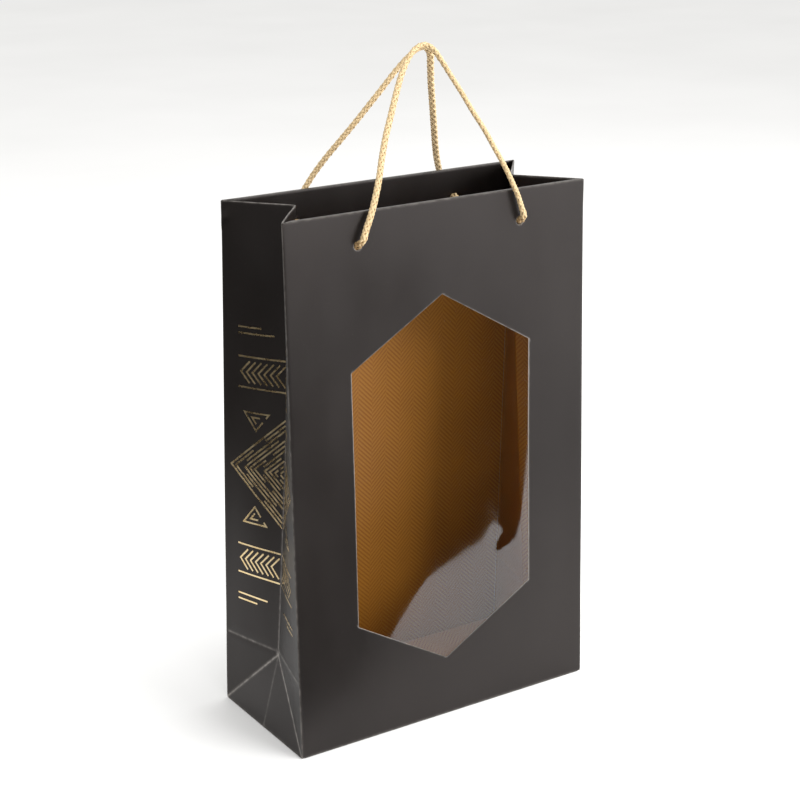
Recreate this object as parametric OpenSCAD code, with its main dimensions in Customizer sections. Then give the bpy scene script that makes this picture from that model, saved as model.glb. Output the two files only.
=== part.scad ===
// Two-bottle gift bag of folded paper with a film window, foil-stamped gussets and two braided rope handles.
// Millimetres. The origin is the middle of the base on the floor, +Z is up and the front panel faces -Y.

/* [Bag] */
// Width across the front panel
bag_w = 220; // [200:1:260]
// Depth of the base, front to back
bag_d = 100; // [96:1:120]
// Height of the rim above the floor
bag_h = 340; // [336:1:360]
// How far the front panel has leant back at the rim
front_lean = 9; // [6:0.5:9]
// How far the back panel has leant forward at the rim
back_lean = 16; // [12:0.5:16]
// How far each gusset's centre crease is pushed in at the rim
gusset_in_rim = 31; // [24:0.5:34]
// How far each gusset's centre crease is pushed in at its foot
gusset_in_foot = 12.5; // [8:0.5:14]

/* [Paper and board] */
// Thickness of the laminated paper
paper_t = 0.4; // [0.3:0.05:0.5]
// Thickness of the boards that stiffen the rim
rim_board_t = 1.2; // [0.8:0.1:1.6]
// Thickness of the base board
base_board_t = 1.6; // [1:0.1:2.4]
// Depth of the paper turned in at the rim
hem_h = 40; // [36:1:44]
// Width of the side seam's glue flap
seam_w = 15; // [10:1:20]

/* [Window] */
// Width of the six-sided window
window_w = 132; // [100:1:140]
// Height of the window's lowest corner
window_foot = 40; // [34:1:50]
// Height of the two lower side corners
window_low = 78; // [70:1:90]
// Height of the two upper side corners
window_high = 243; // [220:1:250]
// Height of the window's highest corner
window_top = 282; // [270:1:284]
// Thickness of the window film
film_t = 0.3; // [0.2:0.05:0.4]
// How far the film reaches past the window behind the panel
film_margin = 11; // [8:1:12]

/* [Handles] */
// Diameter of the braided rope
rope_d = 5; // [4.5:0.1:5.2]
// Diameter of the punched rope holes
hole_d = 6; // [5.6:0.1:7]
// Diameter of the knots inside the rim
knot_d = 12; // [10:0.5:13]

/* [Foil] */
// Width of a foil line
foil_w = 1.2; // [0.8:0.1:1.6]
// Height of the foil pattern's middle
foil_z = 170; // [165:1:175]

/* [Hidden] */
$fn = 48;

gap = 0.05;                                 // air between glued layers
corner_gap = 0.3;                           // air where a sheet ends against another
hole_x = 59;                                // rope holes, either side of the middle
hole_z = 320;                               // and above the floor
paper_black = [0.13, 0.12, 0.12];
board_grey = [0.62, 0.58, 0.52];
rope_gold = [0.83, 0.68, 0.42];
foil_gold = [0.80, 0.62, 0.28];

// Layers under the rim, measured inward from the outer face of the front or back panel
board_y = paper_t + gap;
hem_y = board_y + rim_board_t + gap;
rim_depth = hem_y + paper_t;

// Heights of the layers in the base
flap_step = paper_t + gap;
end_flap_z = 2 * flap_step;
base_board_z = 3 * flap_step;

// The foot of a gusset's centre crease: half the depth of paper, leaning in
apex_z = sqrt(pow(bag_d / 2, 2) - pow(gusset_in_foot, 2));
sheet_start_z = 1.5;
sheet_cols = 4;
foot_rows = 4;
side_rows = 29;

// Foil leaf on a gusset: how far it stands off the paper, its thickness and the longest straight piece
foil_off = 0.1;
foil_t = 0.1;
foil_piece = 14;

rope_sides = 10;
stub_end = 1.7;                             // how far the fixed rope end stands out of the panel

// Centrelines of the two free rope loops, from the left hole to the right one
front_route = [
    [-59, -46, 320], [-58, -46, 324], [-55.5, -45.5, 330], [-51.5, -44.5, 338], [-47.5, -42.5, 346],
    [-42, -38.5, 357], [-37, -34, 368], [-31.5, -29.5, 379], [-25, -25, 390], [-18.5, -20.5, 401],
    [-11.5, -16, 412], [-4.5, -12.5, 420.5], [2, -10.5, 426], [8.5, -10, 428], [14, -11, 425.5],
    [18.5, -13.5, 419], [23, -17, 410], [28.5, -21.5, 399], [33.5, -26, 388], [39, -30.5, 377],
    [43.5, -35, 366], [48, -39.5, 355], [51.5, -43, 345], [54.5, -44.8, 337], [57, -45.7, 329],
    [58.5, -46, 324], [59, -46, 320]];
back_route = [
    [-59, 39.5, 320], [-57.8, 39.5, 324], [-54.5, 39, 330], [-49, 38, 338], [-43.7, 35.5, 347],
    [-37.2, 30.5, 358], [-29.7, 25, 369], [-22.3, 19.5, 380], [-15.4, 14, 391], [-8.6, 8.5, 402],
    [-2, 3, 413], [3.8, -1.5, 421], [8.8, -4, 425], [13.5, -4.3, 425.5], [18, -2.5, 421.5],
    [21.5, 2, 413], [25.5, 7.5, 402], [30, 13, 391], [34.5, 18.5, 380], [39, 24, 369],
    [43.5, 29.5, 358], [48, 34.5, 348], [52, 37.5, 339], [55.5, 39, 331], [58, 39.5, 324],
    [59, 39.5, 320]];

// ---- Shared geometry -------------------------------------------------------

// Solid skinned over a list of closed rings that all have the same number of points. Each ring
// runs clockwise as seen from the end that the rings run to.
module skin(rings) {
    n = len(rings[0]);
    last = (len(rings) - 1) * n;
    sides = [for (i = [0:len(rings) - 2], j = [0:n - 1]) let (a = i * n + j, b = i * n + (j + 1) % n)
        each [[a, b, a + n], [a + n, b, b + n]]];
    foot = [for (j = [n - 1:-1:0]) j];
    head = [for (j = [0:n - 1]) last + j];
    polyhedron([for (ring = rings) each ring], concat(sides, [foot, head]), convexity = 8);
}

// Places children on the front panel: x across, y inward from its outer face, z up the panel
module on_front(lean = front_lean) {
    translate([0, -bag_d / 2, 0]) rotate([-atan(lean / bag_h), 0, 0]) children();
}

// The same on the back panel, with y inward again
module on_back() {
    mirror([0, 1, 0]) on_front(back_lean) children();
}

function panel_length(lean) = sqrt(pow(bag_h, 2) + pow(lean, 2));

// A flat layer that stands on a panel: outline in x and z, from y to y + t
module layer(y, t) {
    translate([0, y + t, 0]) rotate([90, 0, 0]) linear_extrude(t) children();
}

// Rope holes of a panel, drilled through everything in its layers
module rope_holes(lean) {
    for (x = [-hole_x, hole_x])
        translate([x, -5, hole_on_panel(lean)]) rotate([-90, 0, 0]) cylinder(d = hole_d, h = 15);
}

// Distance of the rope holes up the leaning panel
function hole_on_panel(lean) = hole_z / bag_h * panel_length(lean);

// ---- Gussets: a rear half of the left gusset, which the others mirror -------

function unit(v) = v / norm(v);
function crease_in(z) = gusset_in_foot + (gusset_in_rim - gusset_in_foot) * (z - apex_z) / (bag_h - apex_z);

// Point on the gusset half's outer face at height z: t = 0 on the panel's edge, t = 1 on the centre crease,
// or on the diagonal crease of the base below the foot of the centre crease
function half_point(t, z, lean, other) =
    let (edge = [-bag_w / 2, bag_d / 2 - lean * z / bag_h, z],
         crease = [-bag_w / 2 + crease_in(z), (other - lean) / 2 * z / bag_h, z],
         apex = [-bag_w / 2 + gusset_in_foot, (other - lean) / 2 * apex_z / bag_h, apex_z],
         corner = [-bag_w / 2, bag_d / 2, 0],
         inner = z < apex_z ? corner + (apex - corner) * z / apex_z : crease)
    edge + (inner - edge) * t;

// How far along x one thickness of paper reaches through the slanting gusset at height z
function slant(z) =
    let (span = bag_d / 2 - (front_lean + back_lean) / 2 * z / bag_h) norm([span, crease_in(z)]) / span;

// Ring round a strip of the gusset half at height z, depth0 to depth1 under its outer face
function half_ring(z, lean, other, depth0, depth1, edge_gap) =
    let (width = norm(half_point(1, z, lean, other) - half_point(0, z, lean, other)),
         t0 = min(0.5, edge_gap / width),
         t1 = 1 - min(0.4, gap / width),
         ts = [for (k = [0:sheet_cols]) t0 + (t1 - t0) * k / sheet_cols],
         skew = slant(max(z, apex_z)))
    concat([for (k = [sheet_cols:-1:0]) half_point(ts[k], z, lean, other) + [depth0 * skew, 0, 0]],
           [for (k = [0:sheet_cols]) half_point(ts[k], z, lean, other) + [depth1 * skew, 0, 0]]);

module gusset_half(lean, other) {
    foot = [for (k = [0:foot_rows - 1]) sheet_start_z + (apex_z - sheet_start_z) * k / foot_rows];
    side = [for (k = [0:side_rows]) apex_z + (bag_h - apex_z) * k / side_rows];
    skin([for (z = concat(foot, side)) half_ring(z, lean, other, 0, paper_t, paper_t + gap)]);
}

// The same half's share of the turned-in hem, glued inside it
module gusset_hem_half(lean, other) {
    rows = 4;
    skin([for (k = [0:rows]) half_ring(bag_h - hem_h + hem_h * k / rows, lean, other,
        paper_t + gap, 2 * paper_t + gap, rim_depth + corner_gap + 1.5)]);
}

// Triangle between the two diagonal creases at the foot of a gusset
module base_triangle() {
    foot_y = bag_d / 2 - 2 * corner_gap;
    low = 0.2;
    head_y = (front_lean - back_lean) / 2 * apex_z / bag_h;
    head_z = apex_z - 2 * corner_gap;
    function face(x) = [[x, foot_y, low], [x, -foot_y, low], [x + gusset_in_foot, head_y, head_z]];
    skin([face(-bag_w / 2), face(-bag_w / 2 + paper_t)]);
}

module left_front() { mirror([0, 1, 0]) children(); }
module right_front() { mirror([1, 0, 0]) mirror([0, 1, 0]) children(); }
module right_side() { mirror([1, 0, 0]) children(); }

// ---- Foil pattern: paths of [u, v] points, u out from the centre crease, v up from the middle -------

foil_inner = 0.9;                           // paths stop this far from the crease
diamond_half_w = 43;
diamond_slope = 0.84;
diamond_rings = 11;
rail_u = 37;
block_v = 63;
block_half_h = 10;
chevrons = 7;
chevron_step = 4.4;
bar_v = 88;

// Shares of a diamond's side that are drawn, from 0 at the crease to 1 at the tip, for four rings in turn
ring_shares = [[[0, 1]], [[0, 0.38], [0.62, 1]], [[0, 0.84]], [[0.16, 1]]];

// Right-hand half of one concentric diamond
function diamond(k) =
    let (tip = diamond_half_w * (1 - k / diamond_rings), top = (tip - foil_inner) * diamond_slope)
    [for (share = ring_shares[k % 4])
        let (side = [for (f = share) [foil_inner + (tip - foil_inner) * f, top * (1 - f)]])
        each share[1] == 1
            ? [[side[0], side[1], [side[0][0], -side[0][1]]]]
            : [for (s = [-1, 1]) [for (p = side) [p[0], s * p[1]]]]];

// Two small open triangles, one in the other, that fill a corner beside the diamonds
function corner_triangles(s) = [
    [[15.5, s * 34.5], [13.5, s * 37], [32, s * 37], [22.8, s * 25.5], [18, s * 31.5]],
    [[20, s * 34], [26, s * 34], [22.8, s * 30]]];

// Chevrons between two rails
function chevron_block(s) = [
    for (v = [-block_half_h, block_half_h]) [[foil_inner, s * block_v + v], [rail_u, s * block_v + v]],
    for (i = [0:chevrons - 1]) let (u = 2 + chevron_step * i)
        [[u, s * block_v - 7], [u + 6.5, s * block_v], [u, s * block_v + 7]]];

function end_bars(s) = [
    [[11, s * bar_v], [rail_u, s * bar_v]],
    [[20, s * (bar_v + 4)], [rail_u, s * (bar_v + 4)]]];

foil_paths = [
    for (k = [0:diamond_rings - 1]) each diamond(k),
    for (s = [-1, 1]) each concat(corner_triangles(s), chevron_block(s), end_bars(s))];

// A path with points added so that no piece is longer than foil_piece
function dense(path) = [
    for (i = [0:len(path) - 2]) let (step = path[i + 1] - path[i], n = ceil(norm(step) / foil_piece))
        each [for (k = [0:n - 1]) path[i] + step * k / n],
    path[len(path) - 1]];

// Sideways vector from point i of a path to the edge of its line, mitred at a corner
function half_line(path, i) =
    let (j = max(i, 1), k = min(i, len(path) - 2), a = unit(path[j] - path[j - 1]),
         m = unit(a + unit(path[k + 1] - path[k])))
    [-m[1], m[0]] / (m * a) * foil_w / 2;

// Point of the foil at [u, v] on a gusset half, off millimetres outside the paper
function foil_point(p, lean, other, off) =
    half_point(1 - p[0] / (bag_d / 2), foil_z + p[1], lean, other) - [off, 0, 0];

module foil_half(lean, other) {
    for (path = foil_paths) let (line = dense(path))
        skin([for (i = [0:len(line) - 1]) let (w = half_line(line, i), p = line[i] + w, q = line[i] - w) [
            foil_point(q, lean, other, foil_off), foil_point(p, lean, other, foil_off),
            foil_point(p, lean, other, foil_off + foil_t), foil_point(q, lean, other, foil_off + foil_t)]]);
}

module foil_pattern() {
    color(foil_gold) {
        foil_half(back_lean, front_lean);
        left_front() foil_half(front_lean, back_lean);
    }
}

// ---- Ropes and knots -------------------------------------------------------

// Direction of a route at its point i
function heading(route, i) = unit(route[min(i + 1, len(route) - 1)] - route[max(i - 1, 0)]);

// Ring of the rope's skin at point i, turned so that it doesn't twist along the loop
function rope_ring(route, i) =
    let (h = heading(route, i), side = unit(cross([0, 1, 0], h)), up = cross(h, side))
    [for (k = [0:rope_sides - 1]) let (a = 360 * k / rope_sides)
        route[i] + rope_d / 2 * (cos(a) * side - sin(a) * up)];

module rope_loop(route) {
    color(rope_gold) skin([for (i = [0:len(route) - 1]) rope_ring(route, i)]);
}

// Fixed end of a rope on a panel: it passes the hole, turns down behind the hem, where it is knotted, and
// ends in a short tail. The knot's middle line is knot_y inward from the outer face.
module knot(x, lean) {
    knot_y = rim_depth + corner_gap + knot_d / 2;
    head = 3.5;
    knot_l = 9;
    tail_l = 8;
    round_r = 3;
    core_r = knot_d / 2 - round_r;
    color(rope_gold) translate([x, 0, hole_on_panel(lean)]) {
        translate([0, -stub_end, 0]) rotate([-90, 0, 0]) cylinder(d = rope_d, h = stub_end + knot_y);
        translate([0, knot_y, 0]) {
            sphere(d = rope_d);
            translate([0, 0, -head - 1]) cylinder(d = rope_d, h = head + 1);
            translate([0, 0, -head - knot_l]) rotate_extrude() {
                square([core_r, knot_l]);
                translate([0, round_r]) square([core_r + round_r, knot_l - 2 * round_r]);
                for (z = [round_r, knot_l - round_r]) translate([core_r, z]) circle(round_r);
            }
            translate([0, 0, -head - knot_l - tail_l]) cylinder(d1 = rope_d + 1.5, d2 = rope_d, h = tail_l + 1);
        }
    }
}

// ---- Sub-parts -------------------------------------------------------------

module window_outline() {
    polygon([[0, window_foot], [window_w / 2, window_low], [window_w / 2, window_high],
             [0, window_top], [-window_w / 2, window_high], [-window_w / 2, window_low]]);
}

module panel_sheet(lean) {
    low = 0.1;
    translate([-bag_w / 2, low]) square([bag_w, panel_length(lean) - low]);
}

module front_panel() {
    color(paper_black) on_front() difference() {
        layer(0, paper_t) difference() {
            panel_sheet(front_lean);
            window_outline();
        }
        rope_holes(front_lean);
    }
}

module back_panel() {
    color(paper_black) on_back() difference() {
        layer(0, paper_t) panel_sheet(back_lean);
        rope_holes(back_lean);
    }
}

module left_gusset_front_half() { color(paper_black) left_front() gusset_half(front_lean, back_lean); }
module left_gusset_rear_half() { color(paper_black) gusset_half(back_lean, front_lean); }
module left_gusset_base_triangle() { color(paper_black) base_triangle(); }
module right_gusset_front_half() { color(paper_black) right_front() gusset_half(front_lean, back_lean); }
module right_gusset_rear_half() { color(paper_black) right_side() gusset_half(back_lean, front_lean); }
module right_gusset_base_triangle() { color(paper_black) right_side() base_triangle(); }

module side_seam_flap() {
    low = 4;
    color(paper_black) on_back() layer(paper_t + gap, paper_t)
        translate([bag_w / 2 - seam_w - 1, low]) square([seam_w, bag_h - hem_h - 2 * low]);
}

// Bottom flap that folds in from a panel: it narrows towards its free edge
module flap_outline(reach) {
    root_w = bag_w / 2 - 2 * corner_gap;
    tip_w = root_w - 17;
    root_y = -bag_d / 2 + 2 * corner_gap;
    polygon([[-root_w, root_y], [root_w, root_y], [tip_w, reach], [-tip_w, reach]]);
}

flap_reach = 10;                            // how far the long flaps pass the middle

module front_bottom_flap() {
    color(paper_black) linear_extrude(paper_t) flap_outline(flap_reach);
}

// The rear flap rises by one thickness to lie on the front one
module rear_bottom_flap() {
    rise_y = -flap_reach - 1;
    color(paper_black) mirror([0, 1, 0]) intersection() {
        linear_extrude(5) flap_outline(flap_reach);
        rotate([90, 0, 90]) linear_extrude(bag_w, center = true) polygon([
            [-bag_d / 2, 0], [rise_y - 1, 0], [rise_y, flap_step], [flap_reach, flap_step],
            [flap_reach, flap_step + paper_t], [rise_y - 1, flap_step + paper_t],
            [rise_y - 2, paper_t], [-bag_d / 2, paper_t]]);
    }
}

// End flap that folds in from a gusset and lies on both long flaps
module end_flap() {
    root_x = bag_w / 2 - 1.5;
    root_y = bag_d / 2 - 1;
    fold = 35;
    color(paper_black) translate([0, 0, end_flap_z]) linear_extrude(paper_t)
        polygon([[-root_x, -root_y], [-root_x, root_y],
                 [-root_x + fold, root_y - fold], [-root_x + fold, fold - root_y]]);
}

module left_end_flap() { end_flap(); }
module right_end_flap() { right_side() end_flap(); }

// Paper folded over the rim of a panel: a top and a leg down the inside
module hem(lean) {
    half_w = bag_w / 2 - 4;
    top = panel_length(lean);
    color(paper_black) difference() {
        rotate([90, 0, 90]) linear_extrude(2 * half_w, center = true) polygon([
            [board_y, top], [rim_depth, top], [rim_depth, top - hem_h], [hem_y, top - hem_h],
            [hem_y, top - paper_t], [board_y, top - paper_t]]);
        rope_holes(lean);
    }
}

module front_hem() { on_front() hem(front_lean); }
module back_hem() { on_back() hem(back_lean); }

module gusset_hem() {
    color(paper_black) {
        gusset_hem_half(back_lean, front_lean);
        left_front() gusset_hem_half(front_lean, back_lean);
    }
}

module left_gusset_hem() { gusset_hem(); }
module right_gusset_hem() { right_side() gusset_hem(); }

// Board that stiffens the rim, held between the panel and the hem
module rim_board(lean) {
    half_w = bag_w / 2 - 7;
    top = panel_length(lean) - paper_t - gap;
    board_h = hem_h - 3;
    color(board_grey) difference() {
        layer(board_y, rim_board_t) translate([-half_w, top - board_h]) square([2 * half_w, board_h]);
        rope_holes(lean);
    }
}

module front_rim_board() { on_front() rim_board(front_lean); }
module back_rim_board() { on_back() rim_board(back_lean); }

module base_board() {
    edge = 2.5;
    size = [bag_w - 2 * edge, bag_d - 2 * edge];
    color(board_grey) translate([-size[0] / 2, -size[1] / 2, base_board_z]) linear_extrude(base_board_t)
        square(size);
}

module window_film() {
    height = window_top - window_foot + 2 * film_margin;
    color([0.85, 0.88, 0.90, 0.35]) on_front() layer(paper_t + gap, film_t)
        translate([-window_w / 2 - film_margin, window_foot - film_margin])
            square([window_w + 2 * film_margin, height]);
}

module left_foil_pattern() { foil_pattern(); }
module right_foil_pattern() { right_side() foil_pattern(); }

module front_rope_loop() { rope_loop(front_route); }
module back_rope_loop() { rope_loop(back_route); }

module front_left_knot() { on_front() knot(-hole_x, front_lean); }
module front_right_knot() { on_front() knot(hole_x, front_lean); }
module back_left_knot() { on_back() knot(-hole_x, back_lean); }
module back_right_knot() { on_back() knot(hole_x, back_lean); }

front_panel();
back_panel();
left_gusset_front_half();
left_gusset_rear_half();
left_gusset_base_triangle();
right_gusset_front_half();
right_gusset_rear_half();
right_gusset_base_triangle();
side_seam_flap();
front_bottom_flap();
rear_bottom_flap();
left_end_flap();
right_end_flap();
front_hem();
back_hem();
left_gusset_hem();
right_gusset_hem();
front_rim_board();
back_rim_board();
base_board();
window_film();
left_foil_pattern();
right_foil_pattern();
front_rope_loop();
back_rope_loop();
front_left_knot();
front_right_knot();
back_left_knot();
back_right_knot();
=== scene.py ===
"""Looks of the two-bottle gift bag: one folded sheet of black paper, boards, film, foil and braided ropes.

Everything is in metres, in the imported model's frame: the front panel faces -Y and +Z is up.
"""
import math

import bpy
import numpy as np
from mathutils import Matrix, Vector, geometry


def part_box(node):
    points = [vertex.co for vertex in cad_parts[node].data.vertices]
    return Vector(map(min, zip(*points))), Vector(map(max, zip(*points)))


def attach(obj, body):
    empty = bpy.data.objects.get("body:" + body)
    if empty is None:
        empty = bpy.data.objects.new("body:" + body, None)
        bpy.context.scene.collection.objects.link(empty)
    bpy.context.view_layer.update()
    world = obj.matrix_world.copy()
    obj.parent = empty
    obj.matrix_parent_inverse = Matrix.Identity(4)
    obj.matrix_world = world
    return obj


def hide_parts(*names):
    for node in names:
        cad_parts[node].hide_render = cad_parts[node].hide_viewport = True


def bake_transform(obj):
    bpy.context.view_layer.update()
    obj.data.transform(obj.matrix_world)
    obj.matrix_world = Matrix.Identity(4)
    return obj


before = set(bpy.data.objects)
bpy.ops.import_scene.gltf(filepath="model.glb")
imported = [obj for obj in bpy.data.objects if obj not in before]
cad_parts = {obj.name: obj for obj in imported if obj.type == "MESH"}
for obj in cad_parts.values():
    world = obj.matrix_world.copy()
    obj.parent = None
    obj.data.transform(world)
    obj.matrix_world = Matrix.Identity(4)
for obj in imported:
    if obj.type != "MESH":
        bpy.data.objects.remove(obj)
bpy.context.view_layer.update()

MM = 0.001

# ---- Sizes, from the frame ----

PAPER = 0.4 * MM
front_low, front_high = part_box("front_panel")
back_low, back_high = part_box("back_panel")
WIDTH = front_high.x - front_low.x
DEPTH = back_high.y - front_low.y
HEIGHT = front_high.z
FRONT_LEAN = front_high.y - PAPER + DEPTH / 2
BACK_LEAN = DEPTH / 2 - (back_low.y + PAPER)
SPAN = DEPTH / 2  # paper between a panel's edge and a gusset's centre crease
PUSH_FOOT = 12.5 * MM  # how far the centre crease is pushed in at its foot
PUSH_RIM = 31 * MM  # and at the rim
APEX = math.sqrt(SPAN ** 2 - PUSH_FOOT ** 2)
GLUE = 0.05 * MM
board_low, board_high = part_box("front_rim_board")
BOARD = board_high.y - board_low.y  # depth that a leaning rim board takes up
HEM_DEPTH = 2 * PAPER + GLUE  # inner face of the hem below the sheet's outer face
HOLE_X = 59 * MM
HOLE_Z = 320 * MM
HOLE_R = 3 * MM


def walls_at(z):
    """y of the front and back walls at height z, and how far in and at what y the centre creases are."""
    push = PUSH_FOOT + (PUSH_RIM - PUSH_FOOT) * (z - APEX) / (HEIGHT - APEX)
    middle = (FRONT_LEAN - BACK_LEAN) / 2 * z / HEIGHT
    return -DEPTH / 2 + FRONT_LEAN * z / HEIGHT, DEPTH / 2 - BACK_LEAN * z / HEIGHT, push, middle


# ---- Camera ----

AIM = Vector((0.0446, 0.0744, 0.1728))
CAMERA_DISTANCE = 1.2735
CAMERA_AZIMUTH = math.radians(-32.84)
CAMERA_ELEVATION = math.radians(18.61)
CAMERA_ROLL = -0.0061
LENS = 83.0


def add_camera():
    flat = math.cos(CAMERA_ELEVATION)
    back = Vector((math.sin(CAMERA_AZIMUTH) * flat, -math.cos(CAMERA_AZIMUTH) * flat,
                   math.sin(CAMERA_ELEVATION)))
    right = Vector((0, 0, 1)).cross(back).normalized()
    up = back.cross(right)
    c, s = math.cos(CAMERA_ROLL), math.sin(CAMERA_ROLL)
    turned_right, turned_up = c * right + s * up, c * up - s * right
    data = bpy.data.cameras.new("camera")
    data.lens = LENS
    camera = bpy.data.objects.new("camera", data)
    turn = Matrix((turned_right, turned_up, back)).transposed().to_4x4()
    camera.matrix_world = Matrix.Translation(AIM + back * CAMERA_DISTANCE) @ turn
    bpy.context.scene.collection.objects.link(camera)
    bpy.context.scene.camera = camera


add_camera()


# ---- Materials ----

class Surface:
    """A Principled material, with short calls that add nodes to it."""

    def __init__(self, name, **values):
        self.material = bpy.data.materials.new(name)
        self.material.use_nodes = True
        self.tree = self.material.node_tree
        self.shader = self.tree.nodes["Principled BSDF"]
        for socket, value in values.items():
            self.set(socket.replace("_", " "), value)

    def set(self, socket, value):
        self.put(self.shader.inputs[socket], value)

    def put(self, socket, value):
        if isinstance(value, bpy.types.NodeSocket):
            self.tree.links.new(value, socket)
        else:
            socket.default_value = value

    def node(self, kind, inputs=None, **settings):
        node = self.tree.nodes.new("ShaderNode" + kind)
        for name, value in settings.items():
            setattr(node, name, value)
        for socket, value in (inputs or {}).items():
            self.put(node.inputs[socket], value)
        return node

    def place(self, space):
        return self.node("TexCoord").outputs[space]

    def math(self, operation, *values):
        return self.node("Math", dict(enumerate(values)), operation=operation).outputs[0]

    def mix(self, share, a, b):
        return self.node("Mix", {0: share, 6: a, 7: b}, data_type="RGBA").outputs[2]

    def noise(self, scale, detail=2.0, stretch=(1, 1, 1)):
        spot = self.node("Mapping", {"Vector": self.place("Object"), "Scale": stretch}).outputs[0]
        return self.node("TexNoise", {"Vector": spot, "Scale": scale, "Detail": detail}).outputs[0]

    def ramp(self, value, low=0.3, high=0.7, out_low=0.0, out_high=1.0):
        return self.node("MapRange", {0: value, 1: low, 2: high, 3: out_low, 4: out_high}).outputs[0]

    def uv_axes(self):
        return self.node("SeparateXYZ", {0: self.place("UV")}).outputs

    def attribute(self, name):
        return self.node("Attribute", attribute_name=name).outputs["Fac"]

    def bump(self, height, strength, distance):
        bump = self.node("Bump", {"Height": height, "Strength": strength, "Distance": distance})
        self.set("Normal", bump.outputs[0])


def black_paper():
    """Matt laminated black card: a faintly warm satin sheen, mottling, dust specks and creases worn light."""
    m = Surface("black_paper", Specular_IOR_Level=0.34)
    m.set("Specular Tint", (1.0, 0.92, 0.90, 1))
    cloud = m.noise(9, 3)
    grain = m.noise(2600, 2)
    tone = m.mix(m.ramp(cloud, 0.35, 0.65), (0.0072, 0.0056, 0.0050, 1), (0.0108, 0.0086, 0.0077, 1))
    dust = m.ramp(m.noise(1500, 1), 0.76, 0.80)
    tone = m.mix(m.math("MULTIPLY", dust, 0.12), tone, (0.28, 0.25, 0.22, 1))
    patchy = m.ramp(m.noise(240, 3), 0.36, 0.66)
    wear = m.math("MULTIPLY", m.attribute("wear"), m.math("MULTIPLY_ADD", patchy, 0.65, 0.35))
    tone = m.mix(m.math("MULTIPLY", wear, 0.8), tone, (0.36, 0.335, 0.31, 1))
    m.set("Base Color", tone)
    smear = m.noise(38, 4, stretch=(1, 1, 0.4))
    roughness = m.math("ADD", m.ramp(smear, 0.3, 0.7, 0.34, 0.42), m.math("MULTIPLY", wear, 0.2))
    m.set("Roughness", roughness)
    m.bump(m.math("ADD", grain, m.math("MULTIPLY", m.noise(420, 2), 0.8)), 0.14, 0.00010)
    return m.material


def lining():
    """Amber inner face with a faint printed herringbone."""
    m = Surface("amber_lining", Specular_IOR_Level=0.4, Roughness=0.42)
    band, pitch = 11 * MM, 3.2 * MM
    across, along, _ = m.uv_axes()
    zigzag = m.math("PINGPONG", across, band)
    odd = m.math("PINGPONG", m.math("FLOOR", m.math("DIVIDE", across, band)), 1.0)
    rise = m.math("MULTIPLY_ADD", odd, pitch / 2, m.math("ADD", along, zigzag))
    wave = m.math("PINGPONG", rise, pitch / 2)
    line = m.ramp(wave, 0.17 * pitch, 0.27 * pitch)
    cloud = m.ramp(m.noise(14, 3))
    ground = m.mix(cloud, (0.22, 0.073, 0.004, 1), (0.28, 0.100, 0.007, 1))
    m.set("Base Color", m.mix(m.math("MULTIPLY", line, 0.42), ground, (0.44, 0.215, 0.028, 1)))
    m.bump(m.noise(900, 2), 0.05, 0.0001)
    return m.material


def paper_core():
    """Cut edge of the paper, where its pale fibres show."""
    m = Surface("paper_core", Roughness=0.85, Specular_IOR_Level=0.2)
    fibre = m.noise(1800, 3, stretch=(1, 1, 3))
    m.set("Base Color", m.mix(m.ramp(fibre), (0.16, 0.14, 0.125, 1), (0.34, 0.31, 0.28, 1)))
    m.bump(fibre, 0.4, 0.0001)
    return m.material


def grey_board():
    """Recycled grey board with fibres and specks."""
    m = Surface("grey_board", Roughness=0.9, Specular_IOR_Level=0.2)
    fibre = m.noise(700, 4, stretch=(1, 3, 3))
    speck = m.ramp(m.noise(1300, 1), 0.70, 0.74)
    tone = m.mix(m.ramp(fibre), (0.30, 0.27, 0.225, 1), (0.42, 0.385, 0.33, 1))
    m.set("Base Color", m.mix(speck, tone, (0.14, 0.12, 0.10, 1)))
    m.bump(fibre, 0.35, 0.0002)
    return m.material


def clear_film():
    """Clear polyester film: it lets light straight through and mirrors more at a slant."""
    m = Surface("clear_film", Metallic=1.0)
    m.set("Base Color", (0.95, 0.97, 1.0, 1))
    m.set("Roughness", m.ramp(m.noise(30, 3), 0.3, 0.7, 0.03, 0.08))
    facing = m.node("LayerWeight", {"Blend": 0.5}).outputs["Facing"]
    gloss = m.math("MULTIPLY_ADD", m.math("POWER", facing, 4.0), 0.9, 0.045)
    dusty = m.math("MULTIPLY_ADD", m.ramp(m.noise(1700, 1), 0.72, 0.80), 0.05, gloss)
    clear = m.node("BsdfTransparent", {"Color": (0.97, 0.97, 0.965, 1)}).outputs[0]
    both = m.node("MixShader", {0: dusty, 1: clear, 2: m.shader.outputs[0]}).outputs[0]
    m.tree.links.new(both, m.tree.nodes["Material Output"].inputs["Surface"])
    return m.material


def gold_foil():
    """Hot-stamped foil: brushed-looking gold with fine pinholes and pressure marks."""
    m = Surface("gold_foil", Metallic=1.0)
    press = m.noise(160, 3)
    m.set("Base Color", m.mix(m.ramp(press), (0.74, 0.54, 0.27, 1), (0.90, 0.73, 0.45, 1)))
    m.set("Roughness", m.ramp(press, 0.3, 0.7, 0.23, 0.33))
    m.bump(m.noise(1400, 2), 0.14, 0.0001)
    return m.material


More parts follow.
